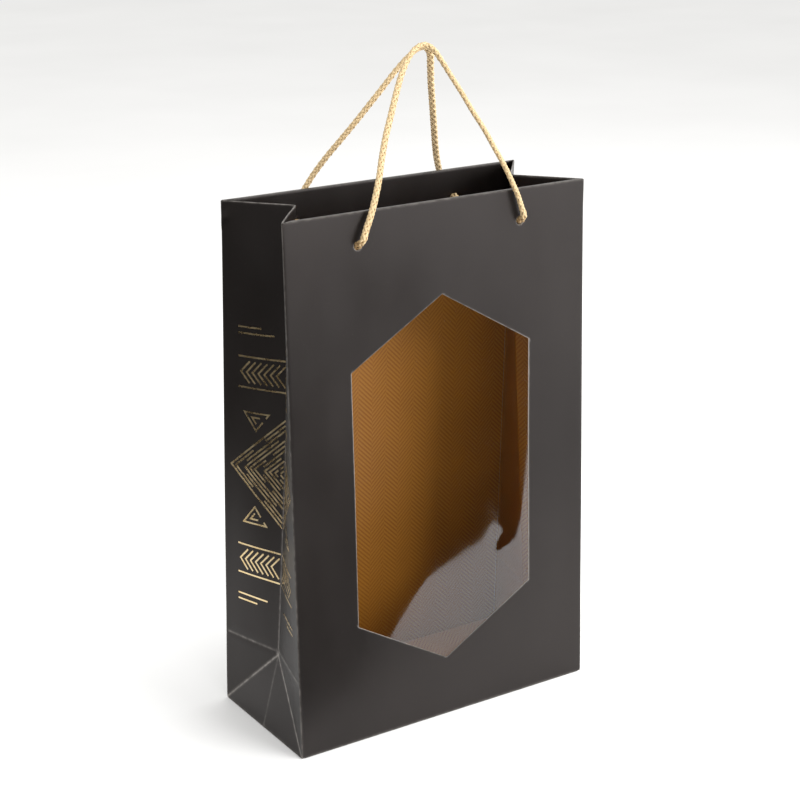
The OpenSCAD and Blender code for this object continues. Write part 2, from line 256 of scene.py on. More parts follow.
def rope_yarn():
    """Silky straw-gold yarn: fine twisted filaments, a tint for each strand, and painted shade where it lies
    deep.
    """
    m = Surface("rope_yarn", Roughness=0.48, Specular_IOR_Level=0.5, Sheen_Weight=0.25, Sheen_Roughness=0.35)
    m.set("Sheen Tint", (1.0, 0.86, 0.60, 1))
    around, along, _ = m.uv_axes()
    twist = m.math("ADD", around, m.math("MULTIPLY", along, 0.42))
    filament = m.math("PINGPONG", twist, 0.17 * MM)
    crease = m.ramp(filament, 0, 0.10 * MM)
    fuzz = m.noise(2400, 2)
    tint = m.attribute("tint")
    tone = m.mix(tint, (0.50, 0.340, 0.15, 1), (0.63, 0.455, 0.235, 1))
    tone = m.mix(m.ramp(fuzz, 0.35, 0.7), tone, (0.73, 0.58, 0.35, 1))
    # Painted shade: darker in the gaps between filaments
    tone = m.mix(m.math("MULTIPLY_ADD", crease, -0.35, 0.35), tone, (0.34, 0.19, 0.06, 1))
    # Painted shade: darker where a strand passes under another, in the core and near the holes
    shade = m.ramp(m.attribute("painted_shade"), 0.38, 1.1, 0.0, 0.8)
    m.set("Base Color", m.mix(shade, tone, (0.26, 0.13, 0.035, 1)))
    m.bump(m.math("ADD", crease, m.math("MULTIPLY", fuzz, 0.5)), 0.6, 0.00012)
    return m.material


def plain_floor():
    m = Surface("floor", Roughness=0.9, Specular_IOR_Level=0.0)
    cloud = m.ramp(m.noise(3, 3))
    m.set("Base Color", m.mix(cloud, (0.91, 0.91, 0.905, 1), (0.94, 0.94, 0.935, 1)))
    return m.material


PAPER_SLOTS = [black_paper(), lining(), paper_core()]
BLACK, LINING, CORE = PAPER_SLOTS
BOARD_SKIN = grey_board()
FILM = clear_film()
FOIL = gold_foil()
YARN = rope_yarn()


# ---- Meshes ----

def add_mesh(name, points, faces, materials, face_material=None, uv=None, normals=None, values=None):
    """Mesh object. uv and normals hold one row per face corner, and values one list per point by name."""
    mesh = bpy.data.meshes.new(name)
    mesh.from_pydata([tuple(p) for p in points], [], faces)
    for material in materials:
        mesh.materials.append(material)
    if face_material is not None:
        mesh.polygons.foreach_set("material_index", face_material)
    mesh.polygons.foreach_set("use_smooth", [True] * len(faces))
    if uv is not None:
        layer = mesh.uv_layers.new(name="UVMap")
        layer.data.foreach_set("uv", np.asarray(uv, np.float32).ravel())
    for key, numbers in (values or {}).items():
        mesh.attributes.new(key, "FLOAT", "POINT").data.foreach_set("value", np.asarray(numbers, np.float32))
    mesh.update()
    if normals is not None:
        mesh.normals_split_custom_set([tuple(n) for n in normals])
    piece = bpy.data.objects.new(name, mesh)
    bpy.context.scene.collection.objects.link(piece)
    return piece


def unit(v):
    return v / np.maximum(np.linalg.norm(v, axis=-1, keepdims=True), 1e-12)


def ease(x, low, high):
    """Smooth step from 0 at low to 1 at high."""
    t = np.clip((x - low) / (high - low), 0, 1)
    return t * t * (3 - 2 * t)


def bell(x, width):
    return np.exp(-(x / width) ** 2)


def run_along(path):
    """Distance along a path at each of its points."""
    return np.concatenate([[0], np.cumsum(np.linalg.norm(np.diff(path, axis=0), axis=1))])


def finish_piece(piece, node):
    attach(piece, "bag")
    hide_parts(node)
    return piece


# ---- Ropes: routes as in the CAD source, from the left hole to the right one ----

FRONT_ROUTE = [
    (-59, -46, 320), (-58, -46, 324), (-55.5, -45.5, 330), (-51.5, -44.5, 338), (-47.5, -42.5, 346),
    (-42, -38.5, 357), (-37, -34, 368), (-31.5, -29.5, 379), (-25, -25, 390), (-18.5, -20.5, 401),
    (-11.5, -16, 412), (-4.5, -12.5, 420.5), (2, -10.5, 426), (8.5, -10, 428), (14, -11, 425.5),
    (18.5, -13.5, 419), (23, -17, 410), (28.5, -21.5, 399), (33.5, -26, 388), (39, -30.5, 377),
    (43.5, -35, 366), (48, -39.5, 355), (51.5, -43, 345), (54.5, -44.8, 337), (57, -45.7, 329),
    (58.5, -46, 324), (59, -46, 320)]
BACK_ROUTE = [
    (-59, 39.5, 320), (-57.8, 39.5, 324), (-54.5, 39, 330), (-49, 38, 338), (-43.7, 35.5, 347),
    (-37.2, 30.5, 358), (-29.7, 25, 369), (-22.3, 19.5, 380), (-15.4, 14, 391), (-8.6, 8.5, 402),
    (-2, 3, 413), (3.8, -1.5, 421), (8.8, -4, 425), (13.5, -4.3, 425.5), (18, -2.5, 421.5),
    (21.5, 2, 413), (25.5, 7.5, 402), (30, 13, 391), (34.5, 18.5, 380), (39, 24, 369),
    (43.5, 29.5, 358), (48, 34.5, 348), (52, 37.5, 339), (55.5, 39, 331), (58, 39.5, 324),
    (59, 39.5, 320)]
STEP = 0.6 * MM  # between rings of a strand
PITCH = 17.5 * MM  # one turn of a strand round the rope
STRAND_HALF_W = 0.84 * MM
STRAND_HALF_T = 0.50 * MM
BRAID_R = 1.60 * MM
WEAVE = 0.40 * MM
CORE_R = 1.25 * MM
NARROW = 0.56  # narrow side of a flattened loop, as a share of its broad one
ROUND_TO, FLAT_FROM = 4 * MM, 18 * MM  # a loop is round this near its ends, and flattened from there on
SHADE_FROM, SHADE_TO = 4.5 * MM, 11 * MM  # the shade at its holes fades out between these
KNOT_SWELL = 0.86  # rope in a knot is pulled thinner


def smooth_path(points):
    """Evenly spaced points on a smooth curve through the given ones."""
    p = np.array([tuple(q) for q in points], float)
    p = np.vstack([2 * p[0] - p[1], p, 2 * p[-1] - p[-2]])
    t = np.concatenate([[0], np.cumsum(np.sqrt(np.linalg.norm(np.diff(p, axis=0), axis=1)))])
    dense = []
    for i in range(1, len(p) - 2):
        t0, t1, t2, t3 = t[i - 1:i + 3]
        x = np.linspace(t1, t2, 24, endpoint=False)[:, None]

        def between(a, b, low, high):
            return ((high - x) * a + (x - low) * b) / (high - low)

        a, b, c = (between(p[j], p[j + 1], t[j], t[j + 1]) for j in (i - 1, i, i + 1))
        dense.append(between(between(a, b, t0, t2), between(b, c, t1, t3), t1, t2))
    dense = np.vstack(dense + [p[-2:-1]])
    run = run_along(dense)
    even = np.linspace(0, run[-1], max(4, round(run[-1] / STEP)) + 1)
    return np.stack([np.interp(even, run, dense[:, k]) for k in range(3)], axis=1)


def carried_frame(path):
    """Two unit vectors across the path at each point, carried along it without twist."""
    along = unit(np.gradient(path, axis=0))
    side = np.zeros_like(path)
    start = np.cross(along[0], (0.0, 0.0, 1.0) if abs(along[0][2]) < 0.9 else (0.0, 1.0, 0.0))
    side[0] = unit(start)
    for i in range(1, len(path)):
        moved = side[i - 1] - along[i] * (side[i - 1] @ along[i])
        side[i] = moved / np.linalg.norm(moved)
    return side, np.cross(along, side)


def tube(centre, side, up, half_w, half_t, sides):
    """Points, faces and UVs of a capped tube with an oval section round a centreline."""
    n = len(centre)
    turn = np.linspace(0, 2 * math.pi, sides, endpoint=False)
    half_w, half_t = np.broadcast_to(half_w, n), np.broadcast_to(half_t, n)
    rings = (centre[:, None]
             + side[:, None] * (np.cos(turn)[None, :, None] * half_w[:, None, None])
             + up[:, None] * (np.sin(turn)[None, :, None] * half_t[:, None, None]))
    points = rings.reshape(-1, 3)
    run = run_along(centre)
    girth = math.pi * (half_w.mean() + half_t.mean())
    faces, uv = [], []
    for i in range(n - 1):
        for j in range(sides):
            k = (j + 1) % sides
            faces.append((i * sides + j, i * sides + k, (i + 1) * sides + k, (i + 1) * sides + j))
            u0, u1 = j / sides * girth, (j + 1) / sides * girth
            uv += [(u0, run[i]), (u1, run[i]), (u1, run[i + 1]), (u0, run[i + 1])]
    for ring, order in ((0, -1), (n - 1, 1)):
        faces.append(tuple([ring * sides + j for j in range(sides)][::order]))
        uv += [(0.0, run[ring])] * sides
    return points, faces, uv


def braid(name, path, lie=0.0, slim=1.0, swell=1.0, shadow=0.0, fray=0, seed=1):
    """Eight flat strands, four each way round, that pass over and under each other along a path.

    At each point, lie turns the broad side about the path, slim flattens, swell scales and shadow darkens.
    """
    rng = np.random.default_rng(seed)
    side, up = carried_frame(path)
    run = run_along(path)
    lie, slim, swell = (np.broadcast_to(value, len(path)) for value in (lie, slim, swell))
    cos, sin = np.cos(lie)[:, None], np.sin(lie)[:, None]
    broad, narrow = side * cos + up * sin, up * cos - side * sin
    points, faces, uv, tint, painted_shade = [], [], [], [], []

    def add(part, shade, under=0.0):
        base = len(points)
        points.extend(part[0])
        faces.extend(tuple(base + i for i in face) for face in part[1])
        uv.extend(part[2])
        tint.extend([shade] * len(part[0]))
        painted_shade.extend(np.broadcast_to(under, len(part[0])))

    for k in range(8):
        way = 1 if k < 4 else -1
        angle = (k % 4) * math.pi / 2 + way * 2 * math.pi * run / PITCH
        over = way * np.cos(8 * math.pi * run / PITCH)
        reach = (BRAID_R + WEAVE * over) * swell
        out = broad * np.cos(angle)[:, None] + narrow * (np.sin(angle) * slim)[:, None]
        centre = path + out * reach[:, None]
        along = unit(np.gradient(centre, axis=0))
        across = unit(np.cross(along, out))
        width = STRAND_HALF_W * np.sqrt(swell)
        # Painted shade: a strand is darker where it passes under the others, and more by the given shadow
        under = np.repeat(0.5 - 0.5 * over + shadow, 8)
        strand = tube(centre, across, np.cross(across, along), width, STRAND_HALF_T, 8)
        add(strand, rng.uniform(0, 1), under)
    # The core is painted in full shade
    add(tube(path, broad, narrow, CORE_R * swell, CORE_R * swell * slim, 8), 0.0, 2.0)
    for _ in range(fray):
        # Loose filaments that splay out of a cut end
        angle, spread = rng.uniform(0, 2 * math.pi), rng.uniform(0.2, 1.0)
        out = side[-1] * math.cos(angle) + up[-1] * math.sin(angle)
        ahead = unit(path[-1] - path[-2])
        reach = np.linspace(0, 1, 6)[:, None]
        root = path[-1] - ahead * 1.2 * MM + out * rng.uniform(0.3, 2.1) * MM
        hair = root + ahead * reach * rng.uniform(2.0, 3.6) * MM + out * reach ** 2 * spread * 1.6 * MM
        hair_side, hair_up = carried_frame(hair)
        add(tube(hair, hair_side, hair_up, 0.11 * MM, 0.11 * MM, 5), rng.uniform(0, 1))
    return add_mesh(name, points, faces, [YARN], uv=uv, values={"tint": tint, "painted_shade": painted_shade})


def at_wall(face_y, inward, x, depth, drop=0.0):
    """Point of a rope at a hole, depth inside a panel's outer face and drop below the hole's middle."""
    return (x, face_y + inward * depth, HOLE_Z - drop)


def add_handle(name, route, face_y, inward, lie_left, lie_right):
    """Loop of rope from one hole to the other. It starts and ends in the panel, where its knots hold it."""
    foot = ((0.0, 3.2, 0.0), (0.0, 0.8, -0.35), (0.0, -0.9, -0.45), (0.1, -2.4, -1.6))
    left, right = ([at_wall(face_y, inward, way * (HOLE_X - dx * MM), depth * MM, drop * MM)
                    for dx, depth, drop in foot] for way in (-1, 1))
    path = smooth_path(left + [tuple(c * MM for c in p) for p in route[1:-1]] + right[::-1])
    along = np.linspace(0, 1, len(path))
    lie = lie_left + (lie_right - lie_left) * ease(along, 0.36, 0.64)
    from_hole = np.minimum(along, 1 - along) * run_along(path)[-1]
    slim = 1 - (1 - NARROW) * ease(from_hole, ROUND_TO, FLAT_FROM)
    shadow = 0.85 * (1 - ease(from_hole, SHADE_FROM, SHADE_TO))
    # A little thinner where it bends into its hole
    swell = 1 - 0.12 * ease(from_hole, 3 * MM, 5 * MM) * (1 - ease(from_hole, 7 * MM, 12 * MM))
    return braid(name, path, lie=lie, slim=slim, swell=swell, shadow=shadow, seed=len(name)), path


def add_knot(name, x, face_y, inward, rise, seed):
    """Knot that hangs behind the hem. The rope passes the hole, turns down, is wound round itself and frays.

    rise lifts the rope behind its hole, in millimetres.
    """
    away = 1 if x > 0 else -1
    hang = 8.1 * MM  # the knot's middle line inside the panel's outer face
    coil_r, turns, low, high = 2.9 * MM, 1.7, 11.4 * MM, 6.0 * MM
    lead = ((2.6, 0), (4.3, 0.6 - rise), (6.4, 2.0 - 1.6 * rise), (8.0, 4.0 - rise), (8.3, 6.5), (8.1, 9.0))
    points = [at_wall(face_y, inward, x, depth * MM, drop * MM) for depth, drop in lead]
    for share in np.arange(22) / 21:
        angle = -0.6 * math.pi + away * share * turns * 2 * math.pi
        radius = coil_r * min(1.0, 0.4 + share * 3)
        depth, drop = hang + radius * math.sin(angle), low - share * (low - high)
        points.append(at_wall(face_y, inward, x + radius * math.cos(angle), depth, drop))
    end = Vector(points[-1])
    tail = ((0.9, 1.3, -3.4), (1.1, 1.6, -8.4), (0.7, 1.2, -13.4))
    points += [tuple(end + Vector((away * dx * MM, inward * dy * MM, dz * MM))) for dx, dy, dz in tail]
    path = smooth_path(points)
    swell = np.full(len(path), KNOT_SWELL)
    swell[-6:] = np.linspace(KNOT_SWELL, 1.12, 6)
    knot = braid("tied_" + name, path, swell=swell, fray=26, seed=seed)
    return finish_piece(knot, name)


def add_ropes():
    quarter = math.pi / 2
    front_y, back_y = walls_at(HOLE_Z)[:2]
    sides = [("front", FRONT_ROUTE, front_y, 1, 0.0, quarter),
             ("back", BACK_ROUTE, back_y, -1, 0.5 * quarter, quarter)]
    for side, route, face_y, inward, lie_left, lie_right in sides:
        rope, path = add_handle(f"{side}_rope", route, face_y, inward, lie_left, lie_right)
        knots = [add_knot(f"{side}_left_knot", -HOLE_X, face_y, inward, 0.0, 3),
                 add_knot(f"{side}_right_knot", HOLE_X, face_y, inward, 2.6, 4)]
        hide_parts(f"{side}_rope_loop")
        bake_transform(rope)


add_ropes()

# ---- The folded sheet ----
# s runs round the bag from the front left corner, z up the wall; z below 0 is paper turned under the base.

S_RIGHT, S_BACK, S_LEFT = WIDTH, WIDTH + DEPTH, 2 * WIDTH + DEPTH
GIRTH = 2 * (WIDTH + DEPTH)
ROUNDING = 0.75 * MM  # how far a crease's rounding reaches
RIM_R = 0.55 * MM  # radius of the fold over the rim
FLAT_FOLD_Z = APEX + 2 * MM  # crease across the gussets, left by the bag's flat fold
FLAT_FOLD_DEPTH, FLAT_FOLD_WIDTH = 0.22 * MM, 1.6 * MM
GUSSET_BOW = 1.1 * MM
CRINKLE_WIDTH = 1.7 * MM
WEAR_REACH = 1.15 * MM  # how far wear spreads from a crease
DISC = [(0.0, 0.0)] + [(r * math.cos(a), r * math.sin(a))
                       for r in (0.5, 1.0) for a in np.arange(8) * math.pi / 4 + r]
waves = np.random.default_rng(11)
WAVES = [(waves.normal(0, 34), waves.normal(0, 26), waves.uniform(0, 6.28), waves.uniform(0.5, 1))
         for _ in range(9)]


def ripple(s, z):
    """Gentle random waves, about -1 to 1."""
    return sum(a * np.sin(k * s + m * z + p) for k, m, p, a in WAVES) / 3.2


def left_normal(a, b):
    """Unit vectors in a plane, to the left of the way from a to b. Round the bag's section they point in."""
    d = unit(b - a)
    return np.stack([-d[..., 1], d[..., 0]], axis=-1)


def mitre(n1, n2):
    return (n1 + n2) / (1 + (n1 * n2).sum(axis=1, keepdims=True))


def section(z, depth, inset):
    """Corners of the bag's section at heights z, from the front left one round.

    The walls are moved in by depth, and below the base the corners draw in by inset.
    """
    front_y, back_y, push, middle = walls_at(z)
    apex_y = walls_at(APEX)[3]
    up = np.clip(z / APEX, 0, 1)
    push = np.where(z < APEX, PUSH_FOOT * up, push)
    tip_front = np.where(z < APEX, -DEPTH / 2 + (apex_y + DEPTH / 2) * up, middle)
    tip_back = np.where(z < APEX, DEPTH / 2 - (DEPTH / 2 - apex_y) * up, middle)
    half = np.full_like(z, WIDTH / 2)

    def plan(x, y):
        return np.stack([x, y], 1)

    front_right, back_right = plan(half, front_y), plan(half, back_y)
    right_a, right_b = plan(half - push, tip_front), plan(half - push, tip_back)

    # The directions of the two gusset halves don't change below the foot of the centre crease
    high_front, high_back, high_push, high_middle = walls_at(np.maximum(z, APEX))
    tip = plan(half - high_push, high_middle)
    n_a = left_normal(plan(half, high_front), tip)
    n_b = left_normal(tip, plan(half, high_back))
    n_front = np.tile([0.0, 1.0], (len(z), 1))
    n_back = -n_front
    n_triangle = np.tile([-1.0, 0.0], (len(z), 1))
    below = (z < APEX)[:, None]
    d, i = depth[:, None], inset[:, None]
    front_right = front_right + d * mitre(n_front, n_a) + i * np.array([-1, 1])
    right_a = right_a + d * mitre(n_a, np.where(below, n_triangle, n_b)) + i * np.array([-1, 1])
    right_b = right_b + d * mitre(np.where(below, n_triangle, n_a), n_b) + i * np.array([-1, -1])
    back_right = back_right + d * mitre(n_b, n_back) + i * np.array([-1, -1])
    flip = np.array([-1, 1])
    return [front_right * flip, front_right, right_a, right_b, back_right, back_right * flip,
            right_b * flip, right_a * flip]


# Small crinkles at the rim: start and end as (s, z) and height, in millimetres
CRINKLES = [((548, 336), (533, 316), 0.5), ((541, 339), (521, 322), -0.4), ((519, 338), (501, 318), 0.45),
            ((506, 337), (492, 326), -0.3), ((344, 338), (357, 321), 0.3)]


def relief(s, z):
    """How far the sheet stands out of its flat faces: waves, bowed gussets and small crinkles at the rim."""
    s = s % GIRTH
    stiff = ease(z, 0.29, 0.335)  # the boards in the rim keep the paper flat
    height = np.zeros_like(s)
    for start, width in ((0.0, WIDTH), (S_RIGHT, DEPTH), (S_BACK, WIDTH), (S_LEFT, DEPTH)):
        part = (s - start) % GIRTH
        spread = width if width == WIDTH else SPAN
        x = part % spread
        near = np.minimum(x, spread - x)
        fade = ease(near, 0, 16 * MM) * ease(z, 2 * MM, 40 * MM) * (1 - 0.6 * stiff)
        bow = np.sin(math.pi * x / spread) ** 2 * ease(z, 60 * MM, 150 * MM)
        bow = GUSSET_BOW * bow if spread == SPAN else 0
        height = np.where(part < width, ripple(s, z) * 0.28 * MM * fade + bow * (1 - 0.7 * stiff), height)
    on_gusset = ((s > S_RIGHT) & (s < S_BACK)) | (s > S_LEFT)
    height = height - np.where(on_gusset, FLAT_FOLD_DEPTH * bell(z - FLAT_FOLD_Z, FLAT_FOLD_WIDTH), 0)
    for start, end, size in CRINKLES:
        a, b = np.array(start) * MM, np.array(end) * MM
        t = np.clip(((s - a[0]) * (b[0] - a[0]) + (z - a[1]) * (b[1] - a[1])) / ((b - a) @ (b - a)), 0, 1)
        off = np.hypot(s - a[0] - t * (b[0] - a[0]), z - a[1] - t * (b[1] - a[1]))
        height += size * MM * bell(off, CRINKLE_WIDTH) * np.sin(math.pi * np.clip(t, 0.02, 0.98))
    return height


def corner_distance(s):
    """Distance round the bag to the nearest corner of the tube, for s within the girth."""
    return np.minimum.reduce([np.abs(s - c) for c in (0, S_RIGHT, S_BACK, S_LEFT, GIRTH)])


def sharp_point(s, z, depth, extra):
    """Point of the sheet before its creases are rounded, and its outward direction in plan.

    extra moves the panels' layers further in.
    """
    inset = np.maximum(-z, 0)
    up = np.clip(z / APEX, 0, 1)
    corners = section(np.maximum(z, 0), depth, inset)
    k = SPAN * up
    zero = np.zeros_like(z)
    knots = [zero, zero + S_RIGHT, S_RIGHT + k, S_BACK - k, zero + S_BACK, zero + S_LEFT, S_LEFT + k,
             GIRTH - k, zero + GIRTH]
    s = s % GIRTH
    plan, outward = np.zeros((len(s), 2)), np.zeros((len(s), 2))
    for i in range(8):
        here = (s >= knots[i]) & (s < knots[i + 1])
        if not here.any():
            continue
        a, b = corners[i][here], corners[(i + 1) % 8][here]
        length = (knots[i + 1] - knots[i])[here]
        t = ((s - knots[i])[here] / np.maximum(length, 1e-9))[:, None]
        plan[here] = a + (b - a) * t
        outward[here] = -left_normal(a, b)
    on_panel = (s < S_RIGHT) | ((s > S_BACK) & (s < S_LEFT))
    share = np.where(on_panel, ease(corner_distance(s), 2 * MM, 6.5 * MM), 0)
    plan -= outward * (extra * share)[:, None]
    return np.column_stack([plan, np.maximum(z, depth)]), np.column_stack([outward, np.zeros(len(s))])


def rounding(s, z):
    """How far a crease's rounding reaches: more at the tube's corners, and most at the V's tips."""
    s = s % GIRTH
    corner = corner_distance(s)
    tip = np.minimum(np.abs(s - S_RIGHT - SPAN), np.abs(s - S_LEFT - SPAN))
    high = ease(z, 0.10, 0.30) * (1 - 0.5 * ease(z, 0.32, HEIGHT))
    soft = 0.9 * bell(corner, 6 * MM) * ease(z, 20 * MM, 70 * MM) + 2.2 * bell(corner, 9 * MM) * high
    return ROUNDING * (1 + soft + 3.0 * bell(tip, 9 * MM) * ease(z, 0.22, HEIGHT))


def sheet_point(s, z, depth=0.0, extra=0.0):
    """Point of the folded sheet, depth under its outer face. Averaging over a disc rounds the creases."""
    s, z = np.asarray(s, float), np.asarray(z, float)
    depth = np.broadcast_to(depth, s.shape).astype(float)
    extra = np.broadcast_to(extra, s.shape).astype(float)
    reach = rounding(s, z)
    point, outward = np.zeros((len(s), 3)), np.zeros((len(s), 3))
    for ds, dz in DISC:
        found = sharp_point(s + ds * reach, z + dz * ROUNDING, depth, extra)
        point += found[0] / len(DISC)
        outward += found[1] / len(DISC)
    return point + outward * relief(s, z)[:, None]


def wear_at(s, z):
    """How worn the paper is, 0 to 1: full on the diagonal creases and less on the others."""
    s = s % GIRTH
    far = 1.0
    lines = [(corner_distance(s), 0.40), (np.abs(z), 0.5), (np.abs(HEIGHT - z), 0.30)]
    for middle in (S_RIGHT + SPAN, S_LEFT + SPAN):
        side = np.abs(s - middle)
        on_gusset = side < SPAN
        diagonal = np.abs(side - SPAN * (1 - z / APEX)) * 0.7
        lines += [(np.where(z > APEX, side, far), 0.55),
                  (np.where(on_gusset & (z < APEX + MM), diagonal, far), 1.0),
                  (np.where(on_gusset, np.abs(z - FLAT_FOLD_Z), far), 0.55),
                  (np.where(z < APEX, side, far), 0.30)]
    return np.maximum.reduce([strength * np.clip(1 - away / WEAR_REACH, 0, 1) for away, strength in lines])


# ---- Flat outlines to triangles ----

def densify(outline, step, closed=True):
    """Points along an outline, no further apart than step."""
    rows = []
    for a, b in zip(outline, outline[1:] + outline[:1] * closed):
        a, b = np.array(a, float), np.array(b, float)
        n = max(1, math.ceil(np.linalg.norm(b - a) / step))
        rows += [a + (b - a) * i / n for i in range(n)]
    return np.array(rows if closed else rows + [np.array(outline[-1], float)])


def edge_distance(points, loop):
    best = np.full(len(points), 1e9)
    for a, b in zip(loop, np.roll(loop, -1, axis=0)):
        t = np.clip(((points - a) @ (b - a)) / max((b - a) @ (b - a), 1e-18), 0, 1)
        best = np.minimum(best, np.linalg.norm(points - a - t[:, None] * (b - a), axis=1))
    return best


def inside(points, loop):
    hit = np.zeros(len(points), bool)
    x, y = points[:, 0], points[:, 1]
    for (x0, y0), (x1, y1) in zip(loop, np.roll(loop, -1, axis=0)):
        if y0 != y1:
            hit ^= ((y0 > y) != (y1 > y)) & (x < (x1 - x0) * (y - y0) / (y1 - y0) + x0)
    return hit


def circle(x, y, radius, count=28):
    return [(x + radius * math.cos(2 * math.pi * i / count), y + radius * math.sin(2 * math.pi * i / count))
            for i in range(count)]


EDGE_ROWS = (0.4, 0.95, 1.8, 3.2)  # rows of points beside an edge, in millimetres from it
FOLD_ROWS = (-1.9, -1.0, -0.45, 0, 0.45, 1.0, 1.9)


def flat_mesh(outline, step, cutouts=(), folds=()):
    """Triangles of an outline with cutouts: rows of points along edges and folds, and a grid between."""
    corners = [np.array(loop, float) for loop in (outline, *cutouts)]
    loops = [densify(loop, step) for loop in (outline, *cutouts)]
    low, high = corners[0].min(axis=0), corners[0].max(axis=0)

    def covered(points):
        keep = inside(points, corners[0])
        for cut in corners[1:]:
            keep &= ~inside(points, cut)
        return keep

    def clear_of_edges(points, margin):
        return points[covered(points) & np.all([edge_distance(points, c) > margin for c in corners], axis=0)]

    free = []
    for loop in loops:
        ahead = np.roll(loop, -1, axis=0)
        across = left_normal(loop, ahead)
        for row in EDGE_ROWS:
            for way in (-1, 1):
                for line in (loop, (loop + ahead) / 2):
                    free.append(clear_of_edges(line + way * across * row * MM, 0.93 * row * MM))
    counts = np.maximum(2, np.ceil((high - low) / step)).astype(int)
    rulers = [np.linspace(low[i], high[i], counts[i] + 1) for i in (0, 1)]
    grid = np.stack(np.meshgrid(*rulers), -1).reshape(-1, 2)
    for a, b in folds:
        line = densify([a, b], step * 0.8, closed=False)
        across = left_normal(np.array(a), np.array(b))
        for row in FOLD_ROWS:
            free.append(clear_of_edges(line + across * row * MM, 0.5 * MM))
        grid = grid[edge_distance(grid, np.array([a, b])) > 3.2 * MM]
    free.append(clear_of_edges(grid, EDGE_ROWS[-1] * MM * 1.35))
    edges, base = [], 0
    for loop in loops:
        edges += [(base + i, base + (i + 1) % len(loop)) for i in range(len(loop))]
        base += len(loop)
    points = np.vstack(loops + free)
    found = geometry.delaunay_2d_cdt([Vector(p) for p in points / MM], edges, [], 0, 1e-6)
    points = np.array([tuple(p) for p in found[0]]) * MM
    faces = np.array([tuple(f) for f in found[2]])
    keep = covered(points[faces].mean(axis=1))
    a, b, c = (points[faces[:, i]] for i in range(3))
    doubled = (b - a)[:, 0] * (c - a)[:, 1] - (b - a)[:, 1] * (c - a)[:, 0]
    keep &= np.abs(doubled) > 1e-12
    faces = np.where((doubled < 0)[:, None], faces[:, ::-1], faces)[keep]
    used, faces = np.unique(faces, return_inverse=True)
    return points[used], faces.reshape(-1, 3)


def border_edges(faces):
    """Edges that only one face uses, each in that face's direction."""
    seen = {(int(f[i]), int(f[(i + 1) % len(f)])) for f in faces for i in range(len(f))}
    return [(a, b) for a, b in seen if (b, a) not in seen]


def slab(name, flat, faces, outer, inner, materials, normals=None, wear=None):
    """Closed thin piece from a flat mesh and the places of its outer and inner points."""
    n, skin = len(flat), len(faces)
    edges = border_edges(faces)
    points = np.vstack([outer, inner])
    all_faces = [tuple(int(i) for i in f) for f in faces]
    all_faces += [tuple(int(i) + n for i in f[::-1]) for f in faces]
    all_faces += [(b, a, a + n, b + n) for a, b in edges]
    kinds = [0] * skin + [1] * skin + [2] * len(edges)
    flat_uv = np.vstack([flat, flat])
    uv = np.vstack([flat_uv[list(f)] for f in all_faces])
    corner_normals = None
    if normals is not None:
        corner_normals = [normals[i] for f in all_faces[:skin] for i in f]
        corner_normals += [-normals[i - n] for f in all_faces[skin:2 * skin] for i in f]
        for f in all_faces[2 * skin:]:
            a, b, c = (points[i] for i in f[:3])
            corner_normals += [unit(np.cross(b - a, c - b))] * 4
    values = {"wear": np.concatenate([wear, wear])} if wear is not None else None
    return add_mesh(name, points, all_faces, materials, kinds, uv, corner_normals, values)


def sheet_normals(s, z, depth):
    h = 0.3 * MM
    along = sheet_point(s + h, z, depth) - sheet_point(s - h, z, depth)
    up = sheet_point(s, z + h, depth) - sheet_point(s, z - h, depth)
    return unit(np.cross(along, up))


def leaf(name, node, outline, cutouts=(), folds=(), step=5 * MM, depth=0.0):
    """One leaf of the sheet between its creases, riding on the bag in place of a CAD node."""
    flat, faces = flat_mesh(outline, step, cutouts, folds)
    s, z = flat[:, 0], flat[:, 1]
    outer, inner = sheet_point(s, z, depth), sheet_point(s, z, depth + PAPER)
    wear = wear_at(s, z)
    for cut in cutouts:
        wear = np.maximum(wear, 0.5 * np.clip(1 - edge_distance(flat, np.array(cut)) / (0.5 * MM), 0, 1))
    piece = slab(name, flat, faces, outer, inner, PAPER_SLOTS, sheet_normals(s, z, depth), wear)
    return finish_piece(piece, node)


UNDER = -1.2 * MM  # the walls' leaves end this far under the base
RIM_JOIN = HEIGHT - RIM_R  # and here below the rim, where the hems take over
GUSSET_STEP = 4.5 * MM
SEAM_LOW, SEAM_HIGH = 4 * MM, 296 * MM

WINDOW = [(x * MM, z * MM) for x, z in ((110, 40), (176, 78), (176, 243), (110, 282), (44, 243), (44, 78))]


def add_walls():
    for name, start, window in (("front", 0, [WINDOW]), ("back", S_BACK, [])):
        holes = [circle(start + WIDTH / 2 + x, HOLE_Z, HOLE_R) for x in (-HOLE_X, HOLE_X)]
        end = start + WIDTH
        leaf(f"{name}_wall", f"{name}_panel",
             [(start, UNDER), (end, UNDER), (end, RIM_JOIN), (start, RIM_JOIN)], window + holes)
    for side, halves, start in (("right", ("front", "rear"), S_RIGHT), ("left", ("rear", "front"), S_LEFT)):
        middle, end = start + SPAN, start + DEPTH
        outlines = ([(start, 0), (middle, APEX), (middle, RIM_JOIN), (start, RIM_JOIN)],
                    [(middle, APEX), (end, 0), (end, RIM_JOIN), (middle, RIM_JOIN)])
        creases = (start, middle), (middle, end)
        for half, outline, (s0, s1) in zip(halves, outlines, creases):
            leaf(f"{side}_gusset_{half}_leaf", f"{side}_gusset_{half}_half", outline,
                 folds=[((s0, FLAT_FOLD_Z), (s1, FLAT_FOLD_Z))], step=GUSSET_STEP)
        leaf(f"{side}_base_triangle_leaf", f"{side}_gusset_base_triangle",
             [(start, 0), (start, UNDER), (end, UNDER), (end, 0), (middle, APEX)],
             folds=[((middle, 0), (middle, APEX))], step=GUSSET_STEP)
    left, right = S_BACK + 1 * MM, S_BACK + 16 * MM
    seam = [(left, SEAM_LOW), (right, SEAM_LOW), (right, SEAM_HIGH), (left, SEAM_HIGH)]
    leaf("seam_flap_leaf", "side_seam_flap", seam, depth=PAPER + GLUE)


